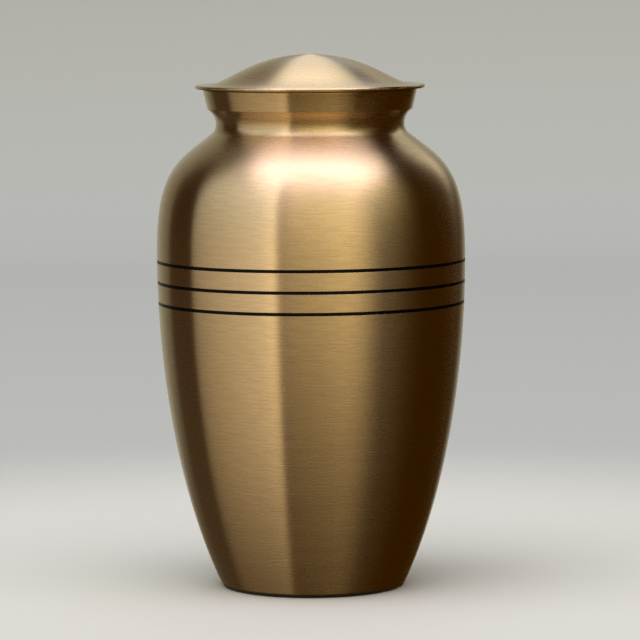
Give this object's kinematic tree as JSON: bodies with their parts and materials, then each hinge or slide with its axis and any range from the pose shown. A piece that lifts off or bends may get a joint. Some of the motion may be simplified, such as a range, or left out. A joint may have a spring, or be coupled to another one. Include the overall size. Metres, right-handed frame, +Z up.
{
  "type": "cremation urn",
  "caption": "Turned brushed-brass cremation urn with a flared collar, engraved bands round the belly and a domed lift-off lid.",
  "frame": {"origin": "centre of the underside of the felt pad, on the urn's axis", "axes": "+Z up along the urn's axis; the urn is turned, so +X and +Y are alike"},
  "size_m": [0.1542, 0.1542, 0.2663],
  "materials": {
    "brushed_brass": "brushed round the axis and clear-lacquered to a satin sheen",
    "black_enamel": "black enamel laid in the engraved grooves, semi-gloss",
    "black_felt": "pressed wool felt, matt"
  },
  "bodies": {
    "root": {"urn_body": "brushed_brass", "urn_lid": "brushed_brass", "felt_pad": "black_felt"}
  },
  "joints": []
}
